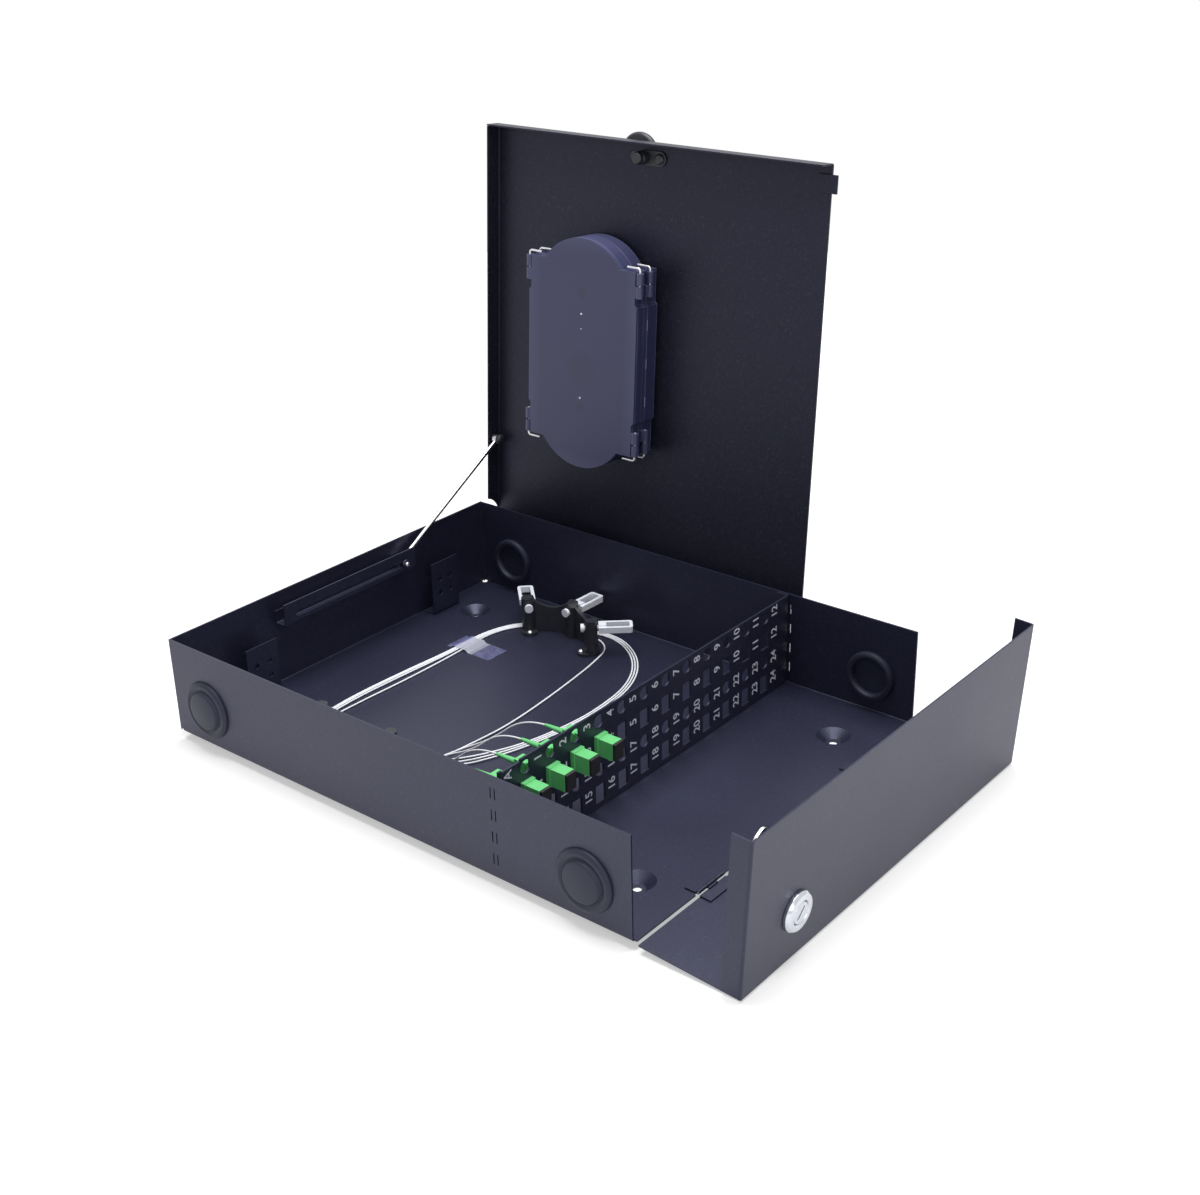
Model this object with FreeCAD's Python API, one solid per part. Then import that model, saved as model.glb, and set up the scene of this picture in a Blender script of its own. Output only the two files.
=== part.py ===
import FreeCAD, Part
import math
import os

V = FreeCAD.Vector

# Sheet steel shell
BOX_L = 424.0
BOX_W = 330.0
BOX_H = 75.0
SHEET = 1.2
BEND = 0.8
SEAM = 0.3
LIP = 2.0
RELIEF_R = 2.2

# Dished feet that carry the mounting holes
MOUNT_L = 352.0
MOUNT_W = 229.0
MOUNT_R = 3.0
DISH_DEPTH = 6.0
DISH_RIM_R = 12.6
DISH_FLAT_R = 5.5

# Fits between pieces
RUN = 0.06
LOOSE = 0.3
SEAT = 0.1

# Rubber grommets in the near and rear walls
GROMMET_HOLE_R = 18.0
GROMMET_R = 22.0
GROMMET_UP = 29.0
GROMMET_IN = 36.0

# Adapter panel with its four rows of twelve places
PANEL_INSET = 110.0
PANEL_T = 1.5
PANEL_DROP = 0.4
PANEL_FLANGE = 10.0
COLUMNS = 12
COLUMN_PITCH = 24.2
PLACE_W = 9.5
PLACE_H = 13.0
PLACE_ROWS = (12.5, 48.5)
DEE_R = 4.75
DEE_FLAT = 3.9
DEE_ROWS = (30.5, 67.3)
SLIT_W = 0.9
SLIT_H = 8.0
SLIT_GAP = 3.5
SLIT_ROWS = (14.5, 30.5, 46.7, 62.5)

# Adapters, connectors and pigtails
ADAPTERS = 4
ADAPTER_L = 15.0
ADAPTER_W = 9.6
ADAPTER_LIFT = 2.2
ADAPTER_BACK = 16.0
ADAPTER_BAND = 3.2
CAP_L = 2.0
PLUG_L = 11.0
PLUG_W = 7.4
PLUG_H = 9.0
BOOT_L = 19.0
BOOT_R = 2.4
CORD_D = 1.3

# Lid and its hinges
LID_GAP = 0.3
LID_SIDE = 0.4
LID_FLANGE = 13.0
LID_NEAR_GAP = 2.6
LID_SHORT = 1.9
LID_HINGE_OUT = 2.3
LID_HINGE_UP = 58.5
LID_OPEN = 94.1
LID_HINGE_W = 30.0
LID_HINGES = (50.0, 265.5)
LEAF_T = 1.2
WALL_LEAF_L = 4.2
LID_LEAF_L = 11.0
KNUCKLE_R = 2.2
HINGE_PIN_R = 1.1

# Lid stay
STAY_X = 12.0
STAY_FAR = 233.4
STAY_CLOSE = 93.0
STAY_LOW = 50.0
STAY_HIGH = 68.5
SLOT_UP = 57.5
SLOT_FAR = 220.0
SLOT_CLOSE = 102.8
ROD_R = 1.75
ROD_X = 7.0
EYE_PROUD = 0.05
STAY_PIN_R = 2.0
STAY_PIN_AT = 105.0
STUD_S = 70.3
STUD_OFF = 6.5

# Splice cassette on the lid
CASSETTE_X = 116.0
CASSETTE_S = 165.0
CASSETTE_W = 107.0
CASSETTE_SIDE = 143.5
CASSETTE_ALL = 181.5
CASSETTE_CHORD = 75.0
CASSETTE_STEP = 2.0
CASSETTE_CORNER = 25.0
CASSETTE_WALL = 1.6
STANDOFF = 4.0
LAYER_H = 12.0
COVER_T = 2.0
LUG_R = 2.7
LUG_L = 9.0
LUG_OUT = 3.1
LUG_STEP = 10.0
WIRE_R = 0.9

# Lid knob and keeper
KNOB_X = 139.5
KNOB_IN = 12.0
KNOB_R = 17.0
KNOB_T = 9.0
KNOB_BARREL = 10.5
KNOB_SCREW = 25.5
KNOB_OVAL_R = 5.6
KEEPER_BACK = 10.6
KEEPER_OUT = 5.2
KEEPER_IN = 14.0
KEEPER_W = 13.0
KEEPER_T = 1.5

# Door with its cam lock
DOOR_AXIS_OUT = 2.8
DOOR_AXIS_UP = 2.6
DOOR_TILT = 3.54
DOOR_DEPTH = 76.5
DOOR_RISE = 107.4
DOOR_DROP = 3.7
DOOR_GAP = 1.7
DOOR_FLANGE = 14.2
DOOR_OVERHANG = 2.0
DOOR_HINGES = (75.0, 255.0)
DOOR_HINGE_W = 27.0
DOOR_KNUCKLE_R = 1.35
DOOR_LEAF_L = 10.2
LOCK_Y = 50.0
LOCK_UP = 32.1
BEZEL_R = 13.5
BARREL_R = 9.0
BARREL_L = 16.0
PLUG_R = 7.4
CAM_W = 12.0
CAM_T = 2.0
CAM_REACH = 78.5
CAM_LEAN = 27.0
CAM_BEHIND = 4.7

# Fibre guides with swing gates
GUIDE_X = 131.0
GUIDE_IN = 84.4
GUIDE_R = 46.0
GUIDE_T = 3.0
GUIDE_H = 27.0
GUIDE_DIP = 5.0
POST_R = 5.5
POST_H = 30.0
FOOT_R = 6.2
FOOT_T = 2.4
GATE_UP = 23.0
GATE_ANGLES = (136.0, 88.5, 41.0)
GATE_L = 27.0
GATE_W = 13.0
GATE_BAR = 2.6
GATE_T = 5.0
GATE_PIN_R = 2.0

# Cable brackets
CABLE_X = 15.0
CABLE_W = 30.0
CABLE_H = 45.5
CABLE_PLACES = (70.0, 267.0)

# Levels and faces of the shell, about the centre of the mounting pattern
LEFT = -BOX_L / 2
RIGHT = BOX_L / 2
NEAR = -BOX_W / 2
REAR = BOX_W / 2
FLOOR = DISH_DEPTH
DECK = FLOOR + SHEET
TOP = FLOOR + BOX_H
PANEL_X = RIGHT - PANEL_INSET
PANEL_FACE = PANEL_X + PANEL_T
COLUMN_FROM = -COLUMN_PITCH * (COLUMNS - 1) / 2 - 0.9


def spot(plane, u, v, w):
    """Point at u, v in a plane and w along its normal."""
    if plane == "yz":
        return V(w, u, v)
    if plane == "xz":
        return V(u, w, v)
    return V(u, v, w)


def box(x0, x1, y0, y1, z0, z1):
    return Part.makeBox(x1 - x0, y1 - y0, z1 - z0, V(x0, y0, z0))


def rod(start, end, r):
    return Part.makeCylinder(r, (end - start).Length, start, end - start)


def rounded(points, radii):
    """Edges of an open path whose inner corners are tangent arcs."""
    edges = []
    start = points[0]
    for i in range(1, len(points) - 1):
        here = points[i]
        back = (points[i - 1] - here).normalize()
        ahead = (points[i + 1] - here).normalize()
        half = back.getAngle(ahead) / 2
        r = radii[i - 1]
        enter = here + back * (r / math.tan(half))
        leave = here + ahead * (r / math.tan(half))
        middle = here + (back + ahead).normalize() * (r / math.sin(half) - r)
        edges.append(Part.LineSegment(start, enter).toShape())
        edges.append(Part.Arc(enter, middle, leave).toShape())
        start = leave
    edges.append(Part.LineSegment(start, points[-1]).toShape())
    return edges


def folded(plane, outline, t, r, w0, w1):
    """Sheet bent along an outline and lying on its left, from w0 to w1."""
    normals = []
    for (au, av), (bu, bv) in zip(outline, outline[1:]):
        d = math.hypot(bu - au, bv - av)
        normals.append(((av - bv) / d, (bu - au) / d))
    other = [(outline[0][0] + t * normals[0][0], outline[0][1] + t * normals[0][1])]
    outer = []
    inner = []
    for i in range(1, len(outline) - 1):
        (pu, pv), (qu, qv) = normals[i - 1], normals[i]
        share = t / (1 + pu * qu + pv * qv)
        other.append((outline[i][0] + share * (pu + qu), outline[i][1] + share * (pv + qv)))
        left = pu * qv - pv * qu > 0
        outer.append(r + t if left else r)
        inner.append(r if left else r + t)
    end = normals[-1]
    other.append((outline[-1][0] + t * end[0], outline[-1][1] + t * end[1]))
    one = [spot(plane, u, v, w0) for u, v in outline]
    two = [spot(plane, u, v, w0) for u, v in reversed(other)]
    edges = rounded(one, outer)
    edges.append(Part.LineSegment(one[-1], two[0]).toShape())
    edges += rounded(two, inner[::-1])
    edges.append(Part.LineSegment(two[-1], one[0]).toShape())
    return Part.Face(Part.Wire(edges)).extrude(spot(plane, 0, 0, w1 - w0))


def turned(profile, place, axis):
    """Solid of revolution from (radius, height) points, set at a place along an axis."""
    wire = Part.makePolygon([V(r, 0, h) for r, h in profile] + [V(profile[0][0], 0, profile[0][1])])
    solid = Part.Face(wire).revolve(V(0, 0, 0), V(0, 0, 1), 360)
    solid.Placement = FreeCAD.Placement(place, FreeCAD.Rotation(V(0, 0, 1), axis))
    return solid


def plate(plane, points, w0, w1):
    corners = [spot(plane, u, v, w0) for u, v in points]
    return Part.Face(Part.makePolygon(corners + corners[:1])).extrude(spot(plane, 0, 0, w1 - w0))


def joined(shapes):
    return shapes[0].multiFuse(shapes[1:]).removeSplitter()


def softened(shape, r, chosen):
    """Shape with the chosen straight edges rounded."""
    edges = [e for e in shape.Edges if chosen(e.BoundBox)]
    return shape.makeFillet(r, edges)


parts = {}

# Base tray: one sheet folded up on three sides, dished at the mounting holes
mounts = [(sx * MOUNT_L / 2, sy * MOUNT_W / 2) for sx in (-1, 1) for sy in (-1, 1)]
across = folded("yz", [(NEAR, TOP), (NEAR, FLOOR), (REAR, FLOOR), (REAR, TOP)], SHEET, BEND, LEFT, RIGHT)
inside_near = NEAR + SHEET + SEAM
inside_rear = REAR - SHEET - SEAM
bend_x = LEFT + SHEET + BEND
across = across.cut(box(LEFT - 1, bend_x, inside_near, inside_rear, FLOOR - 1, TOP + 1))
end_wall = [(LEFT, TOP), (LEFT, FLOOR), (LEFT + 20, FLOOR)]
end_wall = folded("xz", end_wall, SHEET, BEND, inside_near, inside_rear)
lip = box(RIGHT - 5, RIGHT + LIP, NEAR + SHEET + BEND, REAR - SHEET - BEND, FLOOR, DECK)
tray = joined([across, end_wall, lip])
cuts = [rod(V(bend_x, y, FLOOR - 1), V(bend_x, y, DECK + 1), RELIEF_R)
        for y in (NEAR + SHEET + BEND, REAR - SHEET - BEND)]
dishes = []
dish_out = DISH_RIM_R + 2 * SHEET
for x, y in mounts:
    cuts.append(rod(V(x, y, FLOOR - 1), V(x, y, DECK + 1), dish_out))
    dishes.append(turned([(MOUNT_R, 0), (DISH_FLAT_R + SHEET / 2, 0), (DISH_RIM_R + SHEET / 2, FLOOR),
                          (dish_out, FLOOR), (dish_out, DECK), (DISH_RIM_R, DECK),
                          (DISH_FLAT_R, SHEET), (MOUNT_R, SHEET)], V(x, y, 0), V(0, 0, 1)))
grommets = (LEFT + GROMMET_IN, RIGHT - GROMMET_IN)
grommet_z = FLOOR + GROMMET_UP
for x in grommets:
    for y in (NEAR, REAR):
        cuts.append(rod(V(x, y - 5, grommet_z), V(x, y + 5, grommet_z), GROMMET_HOLE_R))
for up in SLIT_ROWS:
    for x in (PANEL_X - SLIT_W / 2, PANEL_X - SLIT_W / 2 + SLIT_GAP):
        for y in (NEAR, REAR):
            z = FLOOR + up
            cuts.append(box(x - SLIT_W / 2, x + SLIT_W / 2, y - 5, y + 5, z - SLIT_H / 2, z + SLIT_H / 2))
door_axis_x = RIGHT + DOOR_AXIS_OUT
for out in DOOR_HINGES:
    half = DOOR_HINGE_W / 2 + 1
    cuts.append(box(door_axis_x - DOOR_KNUCKLE_R - 0.8, RIGHT + LIP + 1, NEAR + out - half,
                    NEAR + out + half, FLOOR - 1, DECK + 1))
parts["base_tray"] = joined([tray.cut(Part.makeCompound(cuts))] + dishes)

# Grommets: blind rubber bungs with a domed flange outside and a rounded ring inside
neck = GROMMET_HOLE_R - SEAT
ring = GROMMET_R - 1.5
grommet = [(0, 2.4), (13.4, 2.4), (14, 1.6), (14, -SHEET - 2.4), (15.6, -SHEET - 4),
           (ring - 1.6, -SHEET - 4), (ring, -SHEET - 2.2), (ring, -SHEET), (neck, -SHEET), (neck, 0),
           (GROMMET_R, 0), (GROMMET_R, 0.8), (20.4, 2.8), (18.2, 3.4), (16.2, 2.6), (15, 2.8),
           (14.2, 4.4), (12.6, 5), (0, 5)]
for i, x in enumerate(grommets):
    for side, y, out in (("near", NEAR, V(0, -1, 0)), ("rear", REAR, V(0, 1, 0))):
        parts["grommet_%s_%d" % (side, i + 1)] = turned(grommet, V(x, y, grommet_z), out)

# Adapter panel: upright stamped plate with a short flange at each wall
near_end = NEAR + SHEET + SEAT
rear_end = REAR - SHEET - SEAT
panel_top = TOP - PANEL_DROP
panel = folded("xy", [(PANEL_FACE - PANEL_FLANGE, near_end), (PANEL_FACE, near_end),
                      (PANEL_FACE, rear_end), (PANEL_FACE - PANEL_FLANGE, rear_end)],
               PANEL_T, 0.5, DECK + BEND, panel_top)
columns = [COLUMN_FROM + i * COLUMN_PITCH for i in range(COLUMNS)]
cuts = []
for y in columns:
    for up in PLACE_ROWS:
        cuts.append(box(PANEL_X - 1, PANEL_FACE + 1, y - PLACE_W / 2, y + PLACE_W / 2,
                        FLOOR + up - PLACE_H / 2, FLOOR + up + PLACE_H / 2))
    for up in DEE_ROWS:
        z = FLOOR + up
        hole = rod(V(PANEL_X - 1, y, z), V(PANEL_FACE + 1, y, z), DEE_R)
        cuts.append(hole.common(box(PANEL_X - 2, PANEL_FACE + 2, y - DEE_R, y + DEE_FLAT,
                                    z - DEE_R, z + DEE_R)))
lid_hinge_y = REAR + LID_HINGE_OUT
lid_hinge_z = FLOOR + LID_HINGE_UP
lid_in = TOP + LID_GAP
lid_front = NEAR + SHEET + LID_NEAR_GAP
keeper_y = lid_front + KEEPER_IN
cuts.append(box(PANEL_X - 1, PANEL_FACE + 1, keeper_y - KEEPER_W / 2 - 2, keeper_y + KEEPER_W / 2 + 2,
                lid_in - KEEPER_T - 2 * LOOSE, TOP + 1))
cuts.append(box(PANEL_FACE - PANEL_FLANGE - 1, PANEL_FACE + 1, NEAR, lid_front + SHEET + 1,
                lid_in - LID_FLANGE - 1, TOP + 1))
parts["adapter_panel"] = panel.cut(Part.makeCompound(cuts)).removeSplitter()

# Adapters with dust caps in front of the panel, connectors with boots behind it
place_z = FLOOR + PLACE_ROWS[1]
for i, y in enumerate(columns[:ADAPTERS]):
    z = place_z + ADAPTER_LIFT
    half_w = ADAPTER_W / 2
    half_h = PLACE_H / 2
    front = box(PANEL_FACE, PANEL_FACE + ADAPTER_L, y - half_w, y + half_w, z - half_h, z + half_h)
    rim = box(PANEL_FACE, PANEL_FACE + ADAPTER_BAND, y - half_w - 0.7, y + half_w + 0.7,
              z - half_h - 0.8, z + half_h + 0.8)
    fit_w = PLACE_W / 2 - 0.2
    fit_h = PLACE_H / 2 - 0.2
    back = box(PANEL_X - ADAPTER_BACK, PANEL_FACE, y - fit_w, y + fit_w, place_z - fit_h, place_z + fit_h)
    socket = box(PANEL_FACE + 2, PANEL_FACE + ADAPTER_L + 1, y - half_w + 1.2, y + half_w - 1.2,
                 z - half_h + 1.4, z + half_h - 1.4)
    rear_socket = box(PANEL_X - ADAPTER_BACK - 1, PANEL_X - 4, y - PLUG_W / 2 - SEAT, y + PLUG_W / 2 + SEAT,
                      place_z - PLUG_H / 2 - SEAT, place_z + PLUG_H / 2 + SEAT)
    hollows = Part.makeCompound([socket, rear_socket])
    parts["adapter_%d" % (i + 1)] = joined([front, rim, back]).cut(hollows)
    end = PANEL_FACE + ADAPTER_L
    cap = box(end, end + CAP_L, y - half_w + 0.3, y + half_w - 0.3, z - half_h + 0.3, z + half_h - 0.3)
    bung = box(PANEL_FACE + 6, end + 0.1, y - half_w + 1.4, y + half_w - 1.4,
               z - half_h + 2.2, z + half_h - 2.2)
    parts["dust_cap_%d" % (i + 1)] = joined([cap, bung])
    shoulder = PANEL_X - ADAPTER_BACK - PLUG_L
    plug = box(shoulder, PANEL_X - 5, y - PLUG_W / 2, y + PLUG_W / 2,
               place_z - PLUG_H / 2, place_z + PLUG_H / 2)
    grip = box(shoulder, PANEL_X - ADAPTER_BACK - 1.5, y - PLUG_W / 2 - 0.8, y + PLUG_W / 2 + 0.8,
               place_z - PLUG_H / 2 - 0.6, place_z + PLUG_H / 2 + 0.6)
    boot = Part.makeCone(BOOT_R, BOOT_R / 2, BOOT_L, V(shoulder, y, place_z), V(-1, 0, 0))
    parts["connector_%d" % (i + 1)] = joined([plug, grip, boot])

# Stay bracket: channel on the left wall whose tall side carries the slot
wall_x = LEFT + SHEET
channel = [(LEFT + STAY_X + SHEET, FLOOR + STAY_HIGH), (LEFT + STAY_X + SHEET, FLOOR + STAY_LOW),
           (wall_x, FLOOR + STAY_LOW), (wall_x, FLOOR + STAY_LOW + 11)]
bracket = folded("xz", channel[::-1], SHEET, BEND, REAR - STAY_FAR, REAR - STAY_CLOSE)
slot_z = FLOOR + SLOT_UP
slot_r = STAY_PIN_R + RUN
slot_x = (LEFT + STAY_X - 1, LEFT + STAY_X + SHEET + 1)
slot_y = (REAR - SLOT_FAR, REAR - SLOT_CLOSE - slot_r)
slot = [box(slot_x[0], slot_x[1], slot_y[0], slot_y[1], slot_z - slot_r, slot_z + slot_r)]
for y in slot_y:
    slot.append(rod(V(slot_x[0], y, slot_z), V(slot_x[1], y, slot_z), slot_r))
parts["stay_bracket"] = bracket.cut(joined(slot))

# Cable brackets: drilled angles on the floor by the left wall
for i, place in enumerate(CABLE_PLACES):
    y = NEAR + place
    x = LEFT + CABLE_X
    angle = folded("xz", [(x - 11, DECK), (x, DECK), (x, DECK + CABLE_H)], SHEET, BEND,
                   y - CABLE_W / 2, y + CABLE_W / 2)
    holes = [rod(V(x - 3, y + sy, DECK + up), V(x + 3, y + sy, DECK + up), 2.2)
             for sy in (-6, 6) for up in (18, 30)]
    parts["cable_bracket_%d" % (i + 1)] = angle.cut(Part.makeCompound(holes))

# Fibre guides: curved wall with three posts; each post carries a swing gate on a radial pin
for name, side in (("rear", 1), ("near", -1)):
    centre = V(LEFT + GUIDE_X, side * (BOX_W / 2 - GUIDE_IN), DECK)
    low = math.radians(min(GATE_ANGLES))
    high = math.radians(max(GATE_ANGLES))
    rim = []
    for r in (GUIDE_R + GUIDE_T / 2, GUIDE_R - GUIDE_T / 2):
        rim.append([centre + V(r * math.cos(a), side * r * math.sin(a), 0)
                    for a in (low, (low + high) / 2, high)])
    edges = [Part.Arc(*rim[0]).toShape(), Part.LineSegment(rim[0][2], rim[1][2]).toShape(),
             Part.Arc(*rim[1][::-1]).toShape(), Part.LineSegment(rim[1][0], rim[0][0]).toShape()]
    wall = Part.Face(Part.Wire(edges)).extrude(V(0, 0, GUIDE_H))
    body = [wall]
    bores = []
    for one, two in zip(GATE_ANGLES, GATE_ANGLES[1:]):
        a = math.radians((one + two) / 2)
        out = V(math.cos(a), side * math.sin(a), 0)
        chord = GUIDE_R * math.sin(math.radians((one - two) / 2)) - POST_R
        sag = (chord ** 2 + GUIDE_DIP ** 2) / (2 * GUIDE_DIP)
        top = centre + V(0, 0, GUIDE_H + sag - GUIDE_DIP)
        bores.append(rod(top + out * (GUIDE_R - 12), top + out * (GUIDE_R + 8), sag))
    for i, degrees in enumerate(GATE_ANGLES):
        a = math.radians(degrees)
        out = V(math.cos(a), side * math.sin(a), 0)
        foot = centre + out * GUIDE_R
        body.append(rod(foot, foot + V(0, 0, POST_H), POST_R))
        if degrees != GATE_ANGLES[1]:
            heel = foot - out * POST_R
            body.append(rod(heel, heel + V(0, 0, FOOT_T), FOOT_R))
        pin = foot + V(0, 0, GATE_UP)
        face = POST_R + LOOSE
        bores.append(rod(pin - out * 20, pin + out * 20, GATE_PIN_R + RUN))
        pin_shape = [rod(pin - out * face, pin + out * (face + 3), GATE_PIN_R),
                     rod(pin - out * (face + 2.6), pin - out * face, 3.4)]
        turn = FreeCAD.Rotation(V(1, 0, 0), out)
        frame = box(face, face + GATE_L, -GATE_W / 2, GATE_W / 2, -GATE_T / 2, GATE_T / 2)
        frame = softened(frame, 2.5, lambda b: b.ZLength > GATE_T - 0.1 and b.XMin > face + 1)
        frame = frame.cut(box(face + 5, face + GATE_L - GATE_BAR, GATE_BAR - GATE_W / 2,
                              GATE_W / 2 - GATE_BAR, -GATE_T, GATE_T))
        hub = box(face, face + 6, -4, 4, -3.6, 3.6)
        frame = frame.fuse(hub)
        frame.Placement = FreeCAD.Placement(pin, turn)
        parts["gate_%s_%d" % (name, i + 1)] = joined([frame] + pin_shape)
    flats = []
    for degrees in GATE_ANGLES:
        a = math.radians(degrees)
        out = V(math.cos(a), side * math.sin(a), 0)
        for start in (GUIDE_R + POST_R - 0.6, GUIDE_R - POST_R - 7.4):
            clear = box(start, start + 8, -9, 9, GATE_UP - 9, GATE_UP + 9)
            clear.Placement = FreeCAD.Placement(centre, FreeCAD.Rotation(V(1, 0, 0), out))
            flats.append(clear)
    parts["fibre_guide_" + name] = joined(body).cut(Part.makeCompound(bores + flats))

# Lid, drawn shut: plate with a rear flange outside the wall and two flanges inside the walls
lid_out = lid_in + SHEET
lid_left = LEFT + SHEET + LID_SIDE
lid_right = PANEL_FACE - LID_SHORT
lid_rear = REAR + LID_SIDE + SHEET
shell = folded("yz", [(lid_rear, lid_hinge_z + KNUCKLE_R + 0.6), (lid_rear, lid_out),
                      (lid_front, lid_out), (lid_front, lid_in - LID_FLANGE)],
               SHEET, BEND, lid_left, lid_right)
wall_swing = math.hypot(LID_HINGE_OUT + SHEET, TOP - lid_hinge_z) + 2 * LOOSE
flange_rear = lid_hinge_y - math.sqrt(wall_swing ** 2 - (lid_in - lid_hinge_z) ** 2) - LOOSE
flange_near = lid_front + SHEET + SEAM
shell = shell.cut(box(lid_left - 1, lid_left + SHEET + BEND, flange_near, flange_rear,
                      lid_in - LID_FLANGE - 1, lid_out + 1))
side = folded("xz", [(lid_left + 20, lid_out), (lid_left, lid_out), (lid_left, lid_in - LID_FLANGE)],
              SHEET, BEND, flange_near, flange_rear)
hinge_side = V(lid_left, lid_hinge_y, lid_hinge_z)
side = side.cut(rod(hinge_side - V(1, 0, 0), hinge_side + V(SHEET + 1, 0, 0), wall_swing))
knob_x = LEFT + KNOB_X
knob_y = lid_front + KNOB_IN
hole = rod(V(knob_x, knob_y, lid_in - 1), V(knob_x, knob_y, lid_out + 1), 4 + SEAT)
shut = {"lid_panel": joined([shell, side]).cut(hole)}

# Lid hinges: wall leaves, lid leaves and pins, three knuckles each
wall_leaves = []
lid_leaves = []
pins = []
step = LID_HINGE_W / 3
axis_y = lid_hinge_y
axis_z = lid_hinge_z
clear = KNUCKLE_R + 0.5
for out in LID_HINGES:
    x = LEFT + out
    x0 = x - LID_HINGE_W / 2
    x1 = x + LID_HINGE_W / 2
    bore = rod(V(x0 - 1, axis_y, axis_z), V(x1 + 1, axis_y, axis_z), HINGE_PIN_R + RUN)
    leaf = [box(x0, x1, REAR, REAR + LEAF_T, axis_z - clear - WALL_LEAF_L, axis_z - clear)]
    for k in (0, 2):
        a = x0 + k * step
        b = a + step - LOOSE if k == 0 else a + step
        a = a + LOOSE if k == 2 else a
        leaf.append(rod(V(a, axis_y, axis_z), V(b, axis_y, axis_z), KNUCKLE_R))
        leaf.append(box(a, b, REAR, REAR + LEAF_T, axis_z - clear - 1, axis_z))
    wall_leaves.append(joined(leaf).cut(bore))
    lid_leaf = joined([box(x0, x1, lid_rear, lid_rear + LEAF_T, axis_z + clear,
                           axis_z + clear + LID_LEAF_L),
                       box(x0 + step, x1 - step, lid_rear, lid_rear + LEAF_T, axis_z, axis_z + clear + 1),
                       rod(V(x0 + step, axis_y, axis_z), V(x1 - step, axis_y, axis_z), KNUCKLE_R)])
    lid_leaves.append(lid_leaf.cut(bore))
    pins.append(rod(V(x0, axis_y, axis_z), V(x1, axis_y, axis_z), HINGE_PIN_R))
parts["lid_hinge_wall_leaves"] = Part.makeCompound(wall_leaves)
parts["lid_hinge_pins"] = Part.makeCompound(pins)
shut["lid_hinge_leaves"] = Part.makeCompound(lid_leaves)

# Keeper tab under the lid, reached by the lock's cam
shut["keeper_tab"] = box(lid_right - KEEPER_BACK, lid_right + KEEPER_OUT, keeper_y - KEEPER_W / 2,
                         keeper_y + KEEPER_W / 2, lid_in - KEEPER_T, lid_in)

# Pull knob on the lid with its oval backing plate, nut and screw
shut["lid_knob"] = turned([(0, 0), (4, 0), (4, SHEET), (6, SHEET), (5, SHEET + 2.5),
                           (KNOB_R - 1.5, SHEET + 3.5), (KNOB_R, SHEET + 5), (KNOB_R, SHEET + KNOB_T - 1.5),
                           (KNOB_R - 1.5, SHEET + KNOB_T), (0, SHEET + KNOB_T)],
                          V(knob_x, knob_y, lid_in), V(0, 0, 1))
barrel_x = knob_x + KNOB_BARREL
screw_x = knob_x + KNOB_SCREW
plate_z = lid_in - 1.6
oval = [rod(V(x, knob_y, plate_z), V(x, knob_y, lid_in), KNOB_OVAL_R) for x in (barrel_x, screw_x)]
oval.append(box(barrel_x, screw_x, knob_y - KNOB_OVAL_R, knob_y + KNOB_OVAL_R, plate_z, lid_in))
shut["knob_plate"] = joined(oval)
shut["knob_nut"] = turned([(0, 0), (5.2, 0), (5.2, -5), (4.4, -6), (4.4, -9), (3.6, -9.8), (0, -9.8)],
                          V(barrel_x, knob_y, plate_z), V(0, 0, 1))
shut["knob_screw"] = turned([(0, 0), (4.2, 0), (4, -1), (3, -2), (0, -2.3)],
                            V(screw_x, knob_y, plate_z), V(0, 0, 1))

# Stay pivot: stud on the lid's left flange with a collar and a dome nut
stud_y = lid_hinge_y - STUD_S
stud_z = lid_in - STUD_OFF
rod_x = LEFT + ROD_X
stud_from = lid_left + SHEET
eye_in = rod_x - ROD_R - LOOSE - EYE_PROUD
eye_out = rod_x + ROD_R + LOOSE + EYE_PROUD
dome = eye_out - stud_from
shut["stay_stud"] = turned([(0, 0), (3.6, 0), (3.6, eye_in - stud_from), (STAY_PIN_R, eye_in - stud_from),
                            (STAY_PIN_R, dome), (4.2, dome), (4.2, dome + 1.6), (3.2, dome + 2.9),
                            (1.5, dome + 3.5), (0, dome + 3.6)], V(stud_from, stud_y, stud_z), V(1, 0, 0))

# Splice cassette: two shallow trays and a cover, knuckled together by wire pins at the corners
cx = LEFT + CASSETTE_X
cy = lid_hinge_y - CASSETTE_S


def cassette_face(z, inset):
    """Rectangle with a bowed bulge at each end and stepped corners, drawn in by an inset."""
    w = CASSETTE_W / 2 - inset
    h = CASSETTE_SIDE / 2 - inset
    c = CASSETTE_CHORD / 2 - inset
    apex = CASSETTE_ALL / 2 - inset
    waist = w - CASSETTE_STEP
    ledge = CASSETTE_SIDE / 2 - CASSETTE_CORNER
    side = [(c, -h), (waist, -h), (waist, -ledge), (w, CASSETTE_STEP - ledge),
            (w, ledge - CASSETTE_STEP), (waist, ledge), (waist, h), (c, h)]
    right = [V(cx + x, cy + y, z) for x, y in side]
    left = [V(cx - x, cy - y, z) for x, y in side]
    edges = [Part.LineSegment(a, b).toShape() for a, b in zip(right, right[1:])]
    edges.append(Part.Arc(right[-1], V(cx, cy + apex, z), left[0]).toShape())
    edges += [Part.LineSegment(a, b).toShape() for a, b in zip(left, left[1:])]
    edges.append(Part.Arc(left[-1], V(cx, cy - apex, z), right[0]).toShape())
    return Part.Face(Part.Wire(edges))


lug_edge = CASSETTE_W / 2 - CASSETTE_STEP


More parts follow.
